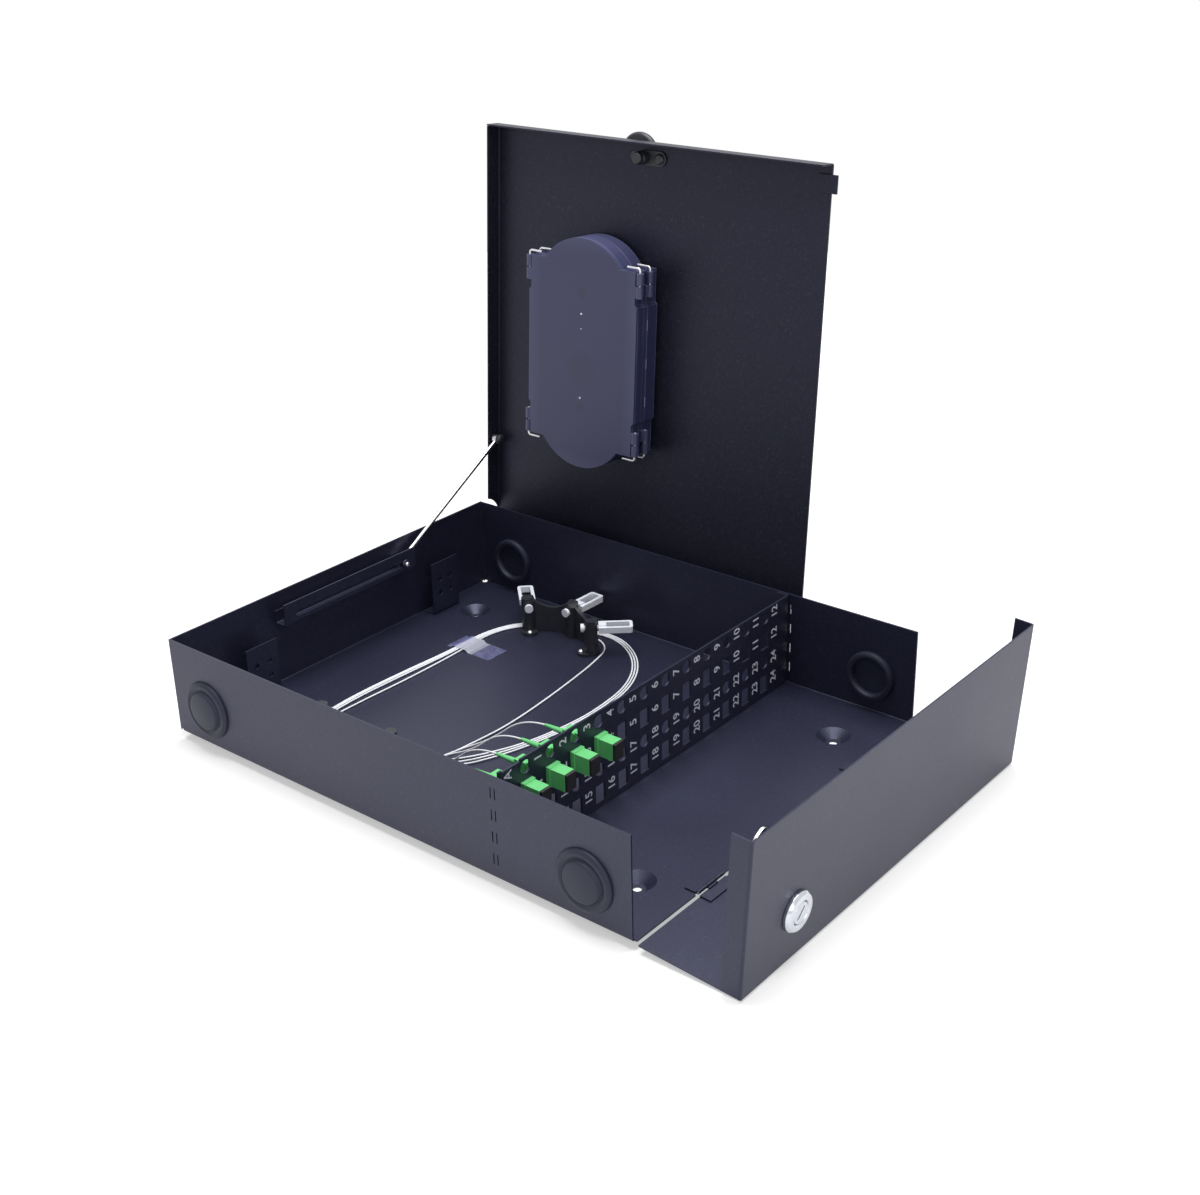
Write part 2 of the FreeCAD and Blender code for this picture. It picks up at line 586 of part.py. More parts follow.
def lugs(z, own, offset):
    """Four knuckles at height z with webs reaching into the tray's own side."""
    made = []
    for sx in (-1, 1):
        for sy in (-1, 1):
            edge = cx + sx * lug_edge
            x = edge + sx * LUG_OUT
            y = cy + sy * (CASSETTE_SIDE / 2 - LUG_STEP / 2 - offset)
            y0 = y - LUG_L / 2
            y1 = y + LUG_L / 2
            made.append(rod(V(x, y0, z), V(x, y1, z), LUG_R))
            z0 = min(z, z + own) + LOOSE
            z1 = max(z, z + own) - LOOSE
            made.append(box(min(edge, x), max(edge, x), y0, y1, z0, z1))
    return made


def lug_bores(z):
    out = lug_edge + LUG_OUT
    return [rod(V(cx + sx * out, cy - CASSETTE_SIDE, z), V(cx + sx * out, cy + CASSETTE_SIDE, z),
                WIRE_R + SEAT)
            for sx in (-1, 1)]


layer_1 = lid_in - STANDOFF
layer_2 = layer_1 - LAYER_H
layer_3 = layer_2 - LAYER_H
up = V(0, 0, 1)
for name, top, under in (("cassette_base", layer_1, layer_2), ("cassette_tray", layer_2, layer_3)):
    hull = cassette_face(top, 0).extrude(up * (under - top))
    hull = hull.cut(cassette_face(top - CASSETTE_WALL, CASSETTE_WALL).extrude(up * (under - top - 1)))
    pieces = [hull]
    if name == "cassette_base":
        for sx in (-1, 1):
            for sy in (-1, 1):
                foot = V(cx + sx * 38, cy + sy * 52, lid_in)
                pieces.append(rod(foot, foot - up * STANDOFF, 5))
    for r, y in ((24, cy - 48), (26, cy + 48)):
        drum = rod(V(cx, y, top - 1), V(cx, y, under + 2), r)
        pieces.append(drum.cut(rod(V(cx, y, top), V(cx, y, under), r - CASSETTE_WALL)))
    pieces += lugs(under, 4.0, 0)
    if name == "cassette_tray":
        pieces += lugs(top, -4.0, LUG_STEP)
    solid = joined(pieces)
    shut[name] = solid.cut(Part.makeCompound(lug_bores(under) + lug_bores(top)))
lid_sheet = cassette_face(layer_3, 0).extrude(up * -COVER_T)
cover = joined([lid_sheet] + lugs(layer_3, -COVER_T, LUG_STEP))
shut["cassette_cover"] = cover.cut(Part.makeCompound(lug_bores(layer_3)))
wires = []
for z in (layer_2, layer_3):
    for sx in (-1, 1):
        for sy in (-1, 1):
            x = cx + sx * (lug_edge + LUG_OUT)
            y = cy + sy * CASSETTE_SIDE / 2
            path = [V(x, y - sy * 20, z), V(x, y + sy * 3, z), V(x - sx * 12, y + sy * 3, z)]
            tube = Part.Wire(rounded(path, [2.2]))
            ring = Part.Wire(Part.makeCircle(WIRE_R, path[0], path[1] - path[0]))
            wires.append(tube.makePipeShell([ring], True, False))
shut["cassette_wire_pins"] = Part.makeCompound(wires)
for name, shape in shut.items():
    shape.rotate(V(0, lid_hinge_y, lid_hinge_z), V(1, 0, 0), -LID_OPEN)
    parts[name] = shape

# Stay rod with an eye on the lid's stud; its foot meets the pin that slides in the slot
lean = math.radians(LID_OPEN)
arm_y = -STUD_S
arm_z = stud_z - lid_hinge_z
upper = V(rod_x, lid_hinge_y + arm_y * math.cos(lean) + arm_z * math.sin(lean),
          lid_hinge_z - arm_y * math.sin(lean) + arm_z * math.cos(lean))
lower = V(rod_x, REAR - STAY_PIN_AT, slot_z)
thick = V(ROD_R + EYE_PROUD, 0, 0)
eye = joined([rod(upper, lower, ROD_R), rod(upper - thick, upper + thick, 4.6),
              rod(lower - thick, lower + thick, 3.4)])
parts["stay_rod"] = eye.cut(rod(upper - thick * 3, upper + thick * 3, STAY_PIN_R + RUN))
pin_in = ROD_X + ROD_R + LOOSE
parts["stay_pin"] = turned([(0, pin_in), (3.4, pin_in), (3.4, STAY_X - LOOSE), (STAY_PIN_R, STAY_X - LOOSE),
                            (STAY_PIN_R, STAY_X + SHEET + LOOSE), (4, STAY_X + SHEET + LOOSE),
                            (4, STAY_X + SHEET + 1.2), (2.6, STAY_X + SHEET + 2.2),
                            (0, STAY_X + SHEET + 2.5)],
                           V(LEFT, REAR - STAY_PIN_AT, slot_z), V(1, 0, 0))

# Door, drawn level: floor section, upright panel and two side flanges from one sheet
door_axis_z = FLOOR + DOOR_AXIS_UP
door_low = door_axis_z - DOOR_DROP
door_face = door_axis_x + DOOR_DEPTH
door_top = door_axis_z + DOOR_RISE
sill = folded("xz", [(door_axis_x + DOOR_GAP, door_low), (door_face, door_low), (door_face, door_top)],
              SHEET, BEND, NEAR, REAR)
wide_near = NEAR - DOOR_OVERHANG
wide_rear = REAR + DOOR_OVERHANG
apron = folded("xy", [(door_face - DOOR_FLANGE, wide_near), (door_face, wide_near),
                      (door_face, wide_rear), (door_face - DOOR_FLANGE, wide_rear)],
               SHEET, BEND, door_low + SHEET + BEND, door_top)
lock_y = NEAR + LOCK_Y
lock_z = door_axis_z + LOCK_UP
hole = rod(V(door_face - 5, lock_y, lock_z), V(door_face + 5, lock_y, lock_z), BARREL_R + SEAT)
level = {"door_cover": joined([sill, apron]).cut(hole)}

# Door hinges: floor leaves, door leaves and pins
floor_leaves = []
door_leaves = []
pins = []
step = DOOR_HINGE_W / 3
door_deck = door_low + SHEET
bore = DOOR_KNUCKLE_R - 0.6
for out in DOOR_HINGES:
    y0 = NEAR + out - DOOR_HINGE_W / 2
    y1 = NEAR + out + DOOR_HINGE_W / 2
    clear = DOOR_KNUCKLE_R + 0.4
    drill = rod(V(door_axis_x, y0 - 1, door_axis_z), V(door_axis_x, y1 + 1, door_axis_z), bore + RUN)
    leaf = [box(door_axis_x - DOOR_LEAF_L, door_axis_x - clear, y0, y1, DECK, DECK + SHEET)]
    for k in (0, 2):
        a = y0 + k * step + (LOOSE if k == 2 else 0)
        b = y0 + (k + 1) * step - (LOOSE if k == 0 else 0)
        leaf.append(rod(V(door_axis_x, a, door_axis_z), V(door_axis_x, b, door_axis_z), DOOR_KNUCKLE_R))
        leaf.append(box(door_axis_x - clear - 1, door_axis_x, a, b, DECK + 0.2, DECK + SHEET))
    floor_leaves.append(joined(leaf).cut(drill))
    leaf = [box(door_axis_x + clear, door_axis_x + DOOR_LEAF_L, y0, y1, door_deck, door_deck + SHEET),
            box(door_axis_x, door_axis_x + clear + 1, y0 + step, y1 - step,
                door_axis_z - DOOR_KNUCKLE_R, door_axis_z - DOOR_KNUCKLE_R + SHEET),
            box(door_axis_x + clear, door_axis_x + clear + 1, y0 + step, y1 - step,
                door_deck, door_axis_z - DOOR_KNUCKLE_R + SHEET),
            rod(V(door_axis_x, y0 + step, door_axis_z), V(door_axis_x, y1 - step, door_axis_z),
                DOOR_KNUCKLE_R)]
    door_leaves.append(joined(leaf).cut(drill))
    pins.append(rod(V(door_axis_x, y0, door_axis_z), V(door_axis_x, y1, door_axis_z), bore))
parts["door_hinge_floor_leaves"] = Part.makeCompound(floor_leaves)
parts["door_hinge_pins"] = Part.makeCompound(pins)
level["door_hinge_leaves"] = Part.makeCompound(door_leaves)

# Cam lock: bezel and barrel, nut, turning plug, cranked cam strap and its screw
inner_face = door_face - SHEET
barrel_end = -SHEET - BARREL_L
lock_at = V(door_face, lock_y, lock_z)
level["lock_body"] = turned([(PLUG_R + RUN, barrel_end), (BARREL_R, barrel_end), (BARREL_R, 0),
                             (BEZEL_R, 0), (BEZEL_R, 2.2), (BEZEL_R - 1.6, 4.2), (PLUG_R + 0.9, 4.6),
                             (PLUG_R + RUN, 3.4)],
                            lock_at, V(1, 0, 0))
hexagon = [(lock_y + 13 * math.cos(k * math.pi / 3), lock_z + 13 * math.sin(k * math.pi / 3))
           for k in range(6)]
nut = plate("yz", hexagon, inner_face - 3, inner_face)
level["lock_nut"] = nut.cut(rod(V(inner_face - 9, lock_y, lock_z), V(inner_face + 1, lock_y, lock_z),
                                BARREL_R + SEAT))
cam_in = barrel_end - LOOSE
plug = turned([(0, cam_in), (PLUG_R, cam_in), (PLUG_R, 3.4), (PLUG_R - 0.5, 4.2), (0, 4.2)],
              lock_at, V(1, 0, 0))
keyway = box(door_face + 0.8, door_face + 5, lock_y - 5, lock_y + 5, lock_z - 0.7, lock_z + 0.7)
keyway.rotate(lock_at, V(1, 0, 0), 45)
level["lock_plug"] = plug.cut(keyway)
strap_x = door_face + cam_in
near_x = inner_face - CAM_BEHIND
strap = [(strap_x, lock_z - CAM_W / 2), (strap_x, lock_z + 15), (near_x, lock_z + 27),
         (near_x, lock_z + CAM_REACH)]
cam = folded("xz", strap, CAM_T, 1.0, lock_y - CAM_W / 2, lock_y + CAM_W / 2)
cam = softened(cam, 3.5, lambda b: b.XLength > CAM_T - 0.1 and b.YLength < 0.1 and b.ZLength < 0.1)
cam = cam.cut(rod(V(strap_x - 9, lock_y, lock_z), V(strap_x + 9, lock_y, lock_z), 3 + SEAT))
cam.rotate(lock_at, V(1, 0, 0), CAM_LEAN)
level["lock_cam"] = cam
level["cam_screw"] = turned([(0, cam_in), (3, cam_in), (3, cam_in - CAM_T), (5.5, cam_in - CAM_T),
                             (5.2, cam_in - CAM_T - 2), (4, cam_in - CAM_T - 2.8),
                             (0, cam_in - CAM_T - 2.8)],
                            lock_at, V(1, 0, 0))
for name, shape in level.items():
    shape.rotate(V(door_axis_x, 0, door_axis_z), V(0, 1, 0), DOOR_TILT)
    parts[name] = shape

# Pigtails: white cords that leave the boots, run round both guides and end on the floor
cord_z = DECK + CORD_D / 2 + LOOSE
boot_end = PANEL_X - ADAPTER_BACK - PLUG_L - BOOT_L - 0.05
fall = (place_z, place_z - 1.5)
CORDS = (
    [(boot_end, columns[0], fall[0]), (36, -134.4, fall[1]), (8, -133, 30), (-22, -132.5, 12),
     (-56.3, -140.2, cord_z), (-105.7, -140.2, cord_z), (-140.6, -105.3, cord_z), (-146, -62, cord_z),
     (-144, -8, cord_z), (-139.6, 46, cord_z), (-140.3, 88.9, cord_z), (-128.2, 117.5, cord_z),
     (-103.4, 136.1, cord_z), (-72.7, 142, cord_z), (-42, 145.5, cord_z), (-7.2, 123.2, cord_z),
     (15, 86, cord_z), (20.4, 40, cord_z), (18.5, 10, cord_z), (11.8, -28, cord_z), (2, -58, cord_z),
     (-9, -80, cord_z), (-30, -101, cord_z)],
    [(boot_end, columns[1], fall[0]), (36, -109.4, fall[1]), (8, -104, 29), (-18, -108, 13),
     (-57.1, -138.3, cord_z), (-104.9, -138.3, cord_z), (-138.7, -104.5, cord_z), (-144.3, -62, cord_z),
     (-142.3, -8, cord_z), (-137.9, 46, cord_z), (-138.7, 88.7, cord_z), (-126.8, 116.4, cord_z),
     (-102.7, 134.5, cord_z), (-72.9, 140.2, cord_z), (-42.6, 143.5, cord_z), (-8.6, 121.6, cord_z),
     (13, 85, cord_z), (18.2, 40, cord_z), (16.3, 10, cord_z), (9.6, -27.4, cord_z), (-1.5, -57, cord_z),
     (-13.5, -78.5, cord_z), (-34, -99.5, cord_z)],
    [(boot_end, columns[2], fall[0]), (36, -85.2, fall[1]), (8, -83, 28), (-21, -86, 15),
     (-26, -110, 11), (-57.9, -136.3, cord_z), (-104.1, -136.3, cord_z), (-136.7, -103.7, cord_z),
     (-142, -62, cord_z), (-139.8, -8, cord_z), (-136.2, 46, cord_z), (-137.1, 88.5, cord_z),
     (-125.4, 115.3, cord_z), (-102, 132.9, cord_z), (-73.1, 138.4, cord_z), (-43.2, 141.5, cord_z),
     (-10, 120, cord_z), (11, 84, cord_z), (16, 40, cord_z), (14.2, 10, cord_z), (7.4, -26.8, cord_z),
     (-5, -56, cord_z), (-19, -77.5, cord_z), (-38, -98, cord_z)],
    [(boot_end, columns[3], fall[0]), (36, -61.8, fall[1]), (8, -65, 28), (-17, -72, 15),
     (-29, -106, 11), (-58.7, -134.4, cord_z), (-103.3, -134.4, cord_z), (-134.8, -102.9, cord_z),
     (-135, -62, cord_z), (-132.4, -8, cord_z), (-132.6, 46, cord_z), (-135.5, 88.3, cord_z),
     (-124, 114.2, cord_z), (-101.3, 131.3, cord_z), (-73.3, 136.6, cord_z), (-42, 127.5, cord_z),
     (-34, 98, cord_z), (-28.6, 62, cord_z), (-24.6, 29, cord_z), (-21.5, -8, cord_z), (-22, -38, cord_z),
     (-27, -78, cord_z)],
)
for i, listed in enumerate(CORDS):
    points = [V(*p) for p in listed]
    radii = []
    for before, here, after in zip(points, points[1:], points[2:]):
        half = (before - here).getAngle(after - here) / 2
        radii.append(0.45 * min((before - here).Length, (after - here).Length) * math.tan(half))
    path = Part.Wire(rounded(points, radii))
    section = Part.Wire(Part.makeCircle(CORD_D / 2, points[0], points[1] - points[0]))
    cord = path.makePipeShell([section], True, False)
    parts["pigtail_%d" % (i + 1)] = cord
    full = math.pi * CORD_D ** 2 / 4 * path.Length
    print("pigtail", i + 1, "length", round(path.Length), "least radius", round(min(radii), 1),
          "volume share", round(cord.Volume / full, 4))

# Tape strip that holds the cords down on their way to the rear guide
hump = DECK + CORD_D + 2 * LOOSE
tape = [(-148.8, DECK), (-144.8, DECK), (-142.2, hump), (-129, hump), (-126.4, DECK), (-104, DECK)]
tape_y = 52.0
tape_w = 22.0
tape_t = 0.25
parts["tape_strip"] = folded("xz", tape, tape_t, 0.3, tape_y, tape_y + tape_w)

os.makedirs("parts", exist_ok=True)
for name, shape in parts.items():
    shape.exportStep("parts/%s.step" % name)
    print(name, shape.isValid(), len(shape.Solids), round(shape.Volume, 1))
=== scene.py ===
import math

import bmesh
import bpy
import numpy as np
from mathutils import Matrix


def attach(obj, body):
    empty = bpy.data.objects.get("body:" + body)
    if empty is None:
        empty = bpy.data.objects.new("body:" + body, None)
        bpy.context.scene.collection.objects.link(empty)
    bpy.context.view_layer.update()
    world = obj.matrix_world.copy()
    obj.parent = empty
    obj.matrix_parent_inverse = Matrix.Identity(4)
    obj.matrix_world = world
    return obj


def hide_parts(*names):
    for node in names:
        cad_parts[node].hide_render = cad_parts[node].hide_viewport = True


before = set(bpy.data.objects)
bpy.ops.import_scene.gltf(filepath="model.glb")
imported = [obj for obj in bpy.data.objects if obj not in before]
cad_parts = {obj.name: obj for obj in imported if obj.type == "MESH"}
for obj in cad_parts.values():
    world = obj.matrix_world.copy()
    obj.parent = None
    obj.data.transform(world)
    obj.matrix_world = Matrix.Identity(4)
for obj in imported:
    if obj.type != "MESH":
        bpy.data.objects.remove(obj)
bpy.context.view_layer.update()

# Base tray: floor and three walls folded from one sheet of steel, with dished feet for the wall
# screws. The sheet is sprayed with black powder and baked, which leaves a fine orange-peel grain.


class Tone:
    """One value in a material. Sums and products of tones add Math nodes, and node() adds any other."""

    def __init__(self, tree, socket=None):
        self.tree = tree
        self.socket = socket

    def node(self, kind, settings, inputs):
        """Adds a node, sets its settings and then its inputs, and returns its first output."""
        made = self.tree.nodes.new("ShaderNode" + kind)
        for name, value in settings.items():
            if name == "stops":
                stops = made.color_ramp.elements
                while len(stops) < len(value):
                    stops.new(1.0)
                for stop, (place, colour) in zip(stops, value):
                    stop.position = place
                    stop.color = (*colour, 1.0)
            else:
                setattr(made, name, value)
        for name, value in inputs.items():
            if isinstance(value, Tone):
                self.tree.links.new(value.socket, made.inputs[name])
            elif isinstance(value, tuple) and made.inputs[name].type == "RGBA":
                made.inputs[name].default_value = (*value, 1.0)
            else:
                made.inputs[name].default_value = value
        return Tone(self.tree, made.outputs[0] if made.outputs else None)

    def pick(self, output):
        return Tone(self.tree, self.socket.node.outputs[output])

    def maths(self, operation, first, second):
        return self.node("Math", {"operation": operation}, {0: first, 1: second})

    def __add__(self, other):
        return self.maths("ADD", self, other)

    def __radd__(self, other):
        return self.maths("ADD", other, self)

    def __sub__(self, other):
        return self.maths("SUBTRACT", self, other)

    def __rsub__(self, other):
        return self.maths("SUBTRACT", other, self)

    def __mul__(self, other):
        return self.maths("MULTIPLY", self, other)

    def __rmul__(self, other):
        return self.maths("MULTIPLY", other, self)

    def __pow__(self, other):
        return self.maths("POWER", self, other)

    def mixed(self, first, second):
        """Colour between two colours, by this value."""
        mix = self.node("Mix", {"data_type": "RGBA"}, {0: self, 6: first, 7: second})
        return mix.pick(2)


def finish(name):
    """New empty material, as the tone that its nodes are added from."""
    material = bpy.data.materials.new(name)
    material.use_nodes = True
    material.node_tree.nodes.clear()
    return material, Tone(material.node_tree)


def noise(tone, scale, detail=3.0, stretch=(1.0, 1.0, 1.0)):
    """Noise over the piece's own coordinates, scale in cells to the metre."""
    place = tone.node("TexCoord", {}, {}).pick("Object")
    place = tone.node("Mapping", {}, {"Vector": place, "Scale": stretch})
    return tone.node("TexNoise", {}, {"Vector": place, "Scale": scale, "Detail": detail})


def surfaced(tone, inputs, grain=None, strength=0.2, depth=0.0002):
    """Closes a material with one surface, its normals roughened by a grain."""
    if grain is not None:
        bump = tone.node("Bump", {}, {"Height": grain, "Strength": strength, "Distance": depth})
        inputs = {**inputs, "Normal": bump}
    shader = tone.node("BsdfPrincipled", {}, inputs)
    tone.node("OutputMaterial", {}, {"Surface": shader})


def powder_coat(name, dark, pale, rough, shine):
    """Baked powder: millimetre grain over a faint cloudy shade of a hand's width, with a little dust.

    The colour runs from dark to pale by cloud and grain, and dust is the ninth power of a third noise.
    """
    dust_grey = (0.10, 0.10, 0.12)
    blue_shine = (0.69, 0.72, 1.0)
    grain_depth = 0.0003
    material, tone = finish(name)
    cloud = noise(tone, 11.0, 4.0)
    grain = noise(tone, 820.0, 4.0)
    dust = noise(tone, 420.0, 2.0) ** 9.0
    colour = (0.45 * cloud + 1.2 * grain - 0.35).mixed(dark, pale)
    colour = (dust * 3.0).mixed(colour, dust_grey)
    roughness = rough + 0.10 * cloud + 0.06 * grain
    surfaced(tone, {"Base Color": colour, "Roughness": roughness, "Specular Tint": blue_shine,
                    "Specular IOR Level": shine}, grain, 0.35, grain_depth)
    return material


def eased(name, node, body, material, width, segments=2, angle=35.0, edge=None):
    """Copy of a solid's mesh, its doubles merged, flat facets joined and sharp edges rounded by a width.

    The rounded edges take a material of their own where one is given.
    """
    same_place = 0.000004
    flat_within = math.radians(0.4)
    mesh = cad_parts[node].data.copy()
    mesh.name = name
    mesh.materials.clear()
    mesh.materials.append(material)
    loose = bmesh.new()
    loose.from_mesh(mesh)
    bmesh.ops.remove_doubles(loose, verts=loose.verts, dist=same_place)
    bmesh.ops.dissolve_limit(loose, angle_limit=flat_within, verts=loose.verts, edges=loose.edges)
    loose.to_mesh(mesh)
    loose.free()
    piece = bpy.data.objects.new(name, mesh)
    bpy.context.scene.collection.objects.link(piece)
    bevel = piece.modifiers.new("edges", "BEVEL")
    bevel.width = width
    bevel.segments = segments
    bevel.limit_method = "ANGLE"
    bevel.angle_limit = math.radians(angle)
    bevel.use_clamp_overlap = True
    if edge is not None:
        mesh.materials.append(edge)
        bevel.material = 1
    facing = piece.modifiers.new("facing", "WEIGHTED_NORMAL")
    facing.mode = "FACE_AREA"
    facing.weight = 100
    mesh.shade_smooth()
    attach(piece, body)
    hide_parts(node)
    return piece


coat_dark = (0.005, 0.0055, 0.015)
coat_pale = (0.019, 0.020, 0.042)
sheet_edge = 0.0003
coat = powder_coat("black_powder_coat", coat_dark, coat_pale, 0.34, 0.68)
eased("tray_sheet", "base_tray", "box", coat, sheet_edge)

# Grommets: blind rubber bungs pressed into the cable holes, moulded with a domed flange outside,
# a raised centre that is cut out for a cable, and a rounded ring inside that holds them in.


def turned(name, profile, place, axis, body, material, steps=72):
    """Surface of revolution: each (radius, height) point of a profile swept once round an axis."""
    profile = np.array(profile)
    turn = np.linspace(0.0, 2.0 * math.pi, steps, endpoint=False)
    axis = np.array(axis, float) / np.linalg.norm(axis)
    side = np.cross(axis, (0.0, 0.0, 1.0) if abs(axis[2]) < 0.9 else (1.0, 0.0, 0.0))
    side = side / np.linalg.norm(side)
    other = np.cross(axis, side)
    around = np.cos(turn)[:, None] * side + np.sin(turn)[:, None] * other
    points = profile[:, None, 0:1] * around[None] + profile[:, None, 1:2] * axis + np.array(place)
    return skinned(name, points, body, material)


def skinned(name, points, body, material):
    """Mesh over rings of points: quads from each ring to the next, and a flat face on either end."""
    rings, around = points.shape[:2]
    index = np.arange(rings * around).reshape(rings, around)
    right = np.roll(index, -1, axis=1)
    quads = np.stack([index[:-1], right[:-1], right[1:], index[1:]], axis=-1).reshape(-1, 4)
    faces = quads.tolist() + [index[0, ::-1].tolist(), index[-1].tolist()]
    mesh = bpy.data.meshes.new(name)
    mesh.from_pydata(points.reshape(-1, 3).tolist(), [], faces)
    mesh.materials.append(material)
    mesh.shade_smooth()
    mesh.set_sharp_from_angle(angle=math.radians(40.0))
    piece = bpy.data.objects.new(name, mesh)
    bpy.context.scene.collection.objects.link(piece)
    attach(piece, body)
    return piece


rubber_dark = (0.009, 0.010, 0.020)
rubber_pale = (0.020, 0.022, 0.042)
rubber, tone = finish("black_rubber")
bloom = noise(tone, 60.0, 4.0)
surfaced(tone, {"Base Color": bloom.mixed(rubber_dark, rubber_pale), "Roughness": 0.40 + 0.2 * bloom,
                "Specular Tint": (0.75, 0.79, 1.0)}, noise(tone, 700.0), 0.25, 0.0002)
grommet_x = 0.176
grommet_z = 0.035
wall_y = 0.165
sheet = 0.0012
inner_ring = [(0.0001, -sheet), (0.0136, -sheet), (0.0139, -0.0030), (0.0146, -0.0046), (0.0156, -0.0052),
              (0.0176, -0.0051), (0.0189, -0.0044), (0.0194, -0.0030), (0.0194, -sheet)]
neck = [(0.0179, -sheet), (0.0179, 0.0)]
flange = [(0.0220, 0.0), (0.0220, 0.0008), (0.0214, 0.0019), (0.0204, 0.0028), (0.0190, 0.0033),
          (0.0176, 0.0032), (0.0164, 0.0025), (0.0154, 0.0022)]
raised_centre = [(0.0147, 0.0027), (0.0143, 0.0039), (0.0137, 0.0046), (0.0126, 0.0050), (0.0001, 0.0051)]
grommet_profile = inner_ring + neck + flange + raised_centre
for number, x in ((1, -grommet_x), (2, grommet_x)):
    for side, way in (("near", -1.0), ("rear", 1.0)):
        bung = turned("bung_%s_%d" % (side, number), grommet_profile, (x, way * wall_y, grommet_z),
                      (0.0, way, 0.0), "box", rubber)
        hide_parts("grommet_%s_%d" % (side, number))

# Adapter panel: upright stamped sheet between the two compartments, coated like the shell.
# Port numbers are screen-printed in white beside the places, turned to read from below.

eased("panel_sheet", "adapter_panel", "box", coat, 0.0002, 1)
panel_face = 0.1035
print_fresh = (0.86, 0.87, 0.98)
print_worn = (0.76, 0.77, 0.88)
print_white, tone = finish("white_print")
wear = noise(tone, 900.0, 3.0)
surfaced(tone, {"Base Color": wear.mixed(print_fresh, print_worn), "Roughness": 0.55})
print_lift = 0.00004


def printed(name, words, y, z, height):
    """Flat lettering just off the panel's face, turned a quarter so that it reads upwards."""
    curve = bpy.data.curves.new(name, "FONT")
    curve.body = words
    curve.size = height
    curve.align_x = "CENTER"
    curve.align_y = "CENTER"
    curve.offset = height * 0.016
    flat = bpy.data.objects.new(name, curve)
    bpy.context.scene.collection.objects.link(flat)
    bpy.context.view_layer.update()
    mesh = bpy.data.meshes.new_from_object(flat.evaluated_get(bpy.context.evaluated_depsgraph_get()))
    bpy.data.objects.remove(flat)
    upright = Matrix(((0, 0, 1, panel_face + print_lift), (0, -1, 0, y), (1, 0, 0, z), (0, 0, 0, 1)))
    mesh.transform(upright)
    mesh.flip_normals()
    return mesh


place_pitch = 0.0242
first_place = -0.134
beside_place = 0.0122
figure_height = 0.0099
rows = ((1, 0.0745), (1, 0.0565), (13, 0.0375), (13, 0.0205))
lettering = [("A", first_place - 0.0162, rows[0][1])]
for i in range(12):
    for first, z in rows:
        lettering.append((str(i + first), first_place + place_pitch * i + beside_place, z))
all_print = bmesh.new()
for words, y, z in lettering:
    all_print.from_mesh(printed("figure", words, y, z, figure_height))
print_mesh = bpy.data.meshes.new("port_numbers")
all_print.to_mesh(print_mesh)
all_print.free()
print_mesh.materials.append(print_white)
numbers = bpy.data.objects.new("port_numbers", print_mesh)
bpy.context.scene.collection.objects.link(numbers)
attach(numbers, "box")

# Adapters: green moulded couplers snapped into the panel, with dark dust caps on their outer ends.
# Connectors with tapered boots are pushed in from behind.

green_deep = (0.13, 0.55, 0.185)
green_light = (0.17, 0.63, 0.23)
green, tone = finish("green_plastic")
flow = noise(tone, 130.0, 3.0)
surfaced(tone, {"Base Color": flow.mixed(green_deep, green_light),
                "Roughness": 0.36 + 0.14 * flow}, noise(tone, 2600.0), 0.08, 0.00005)
cap_dark = (0.012, 0.012, 0.014)
cap_pale = (0.022, 0.022, 0.025)
cap_black, tone = finish("cap_plastic")
flow = noise(tone, 160.0, 3.0)
surfaced(tone, {"Base Color": flow.mixed(cap_dark, cap_pale),
                "Roughness": 0.42 + 0.16 * flow})
for i in range(1, 5):
    eased("coupler_%d" % i, "adapter_%d" % i, "box", green, 0.00025)
    eased("cap_%d" % i, "dust_cap_%d" % i, "box", cap_black, 0.0003)
    eased("plug_boot_%d" % i, "connector_%d" % i, "box", green, 0.0003)

# Brackets on the left wall: a slotted channel for the lid's stay and two drilled cable angles,
# folded from the same coated sheet and spot-welded to the shell.

eased("stay_channel", "stay_bracket", "box", coat, 0.00025)
for i in (1, 2):
    eased("cable_angle_%d" % i, "cable_bracket_%d" % i, "box", coat, 0.00025)

# Fibre guides: curved black walls that hold the fibres to their least bend, with three posts each.
# White gates swing on the posts to keep the fibres down; each guide is screwed to the floor.

guide_dark = (0.013, 0.014, 0.020)
guide_pale = (0.026, 0.027, 0.036)
guide_black, tone = finish("guide_plastic")
flow = noise(tone, 90.0, 3.0)
surfaced(tone, {"Base Color": flow.mixed(guide_dark, guide_pale),
                "Roughness": 0.34 + 0.2 * flow}, noise(tone, 2200.0), 0.1, 0.00006)
gate_dull = (0.86, 0.88, 0.96)
gate_clean = (0.92, 0.94, 1.0)
gate_white, tone = finish("gate_plastic")
flow = noise(tone, 110.0, 3.0)
surfaced(tone, {"Base Color": flow.mixed(gate_dull, gate_clean),
                "Roughness": 0.32 + 0.15 * flow, "Subsurface Weight": 0.05})
for side in ("rear", "near"):
    eased("guide_" + side, "fibre_guide_" + side, "box", guide_black, 0.0005)
    for i in (1, 2, 3):
        gate = "gate_%s_%d" % (side, i)
        eased(gate + "_frame", gate, gate, gate_white, 0.0005)
zinc_dull = (0.64, 0.64, 0.66)
zinc_clean = (0.78, 0.78, 0.80)
bright, tone = finish("bright_zinc")
drawn = noise(tone, 240.0, 4.0)
surfaced(tone, {"Base Color": drawn.mixed(zinc_dull, zinc_clean), "Metallic": 1.0,
                "Roughness": 0.30 + 0.2 * drawn})
guide_x = -0.081
guide_y = 0.0806
screw_ring = 0.0374
foot_top = 0.0096
screw_head = [(0.0001, -0.0004), (0.0021, -0.0004), (0.0021, 0.0005), (0.0017, 0.0011), (0.0009, 0.0014),
              (0.0006, 0.0009), (0.0001, 0.0009)]
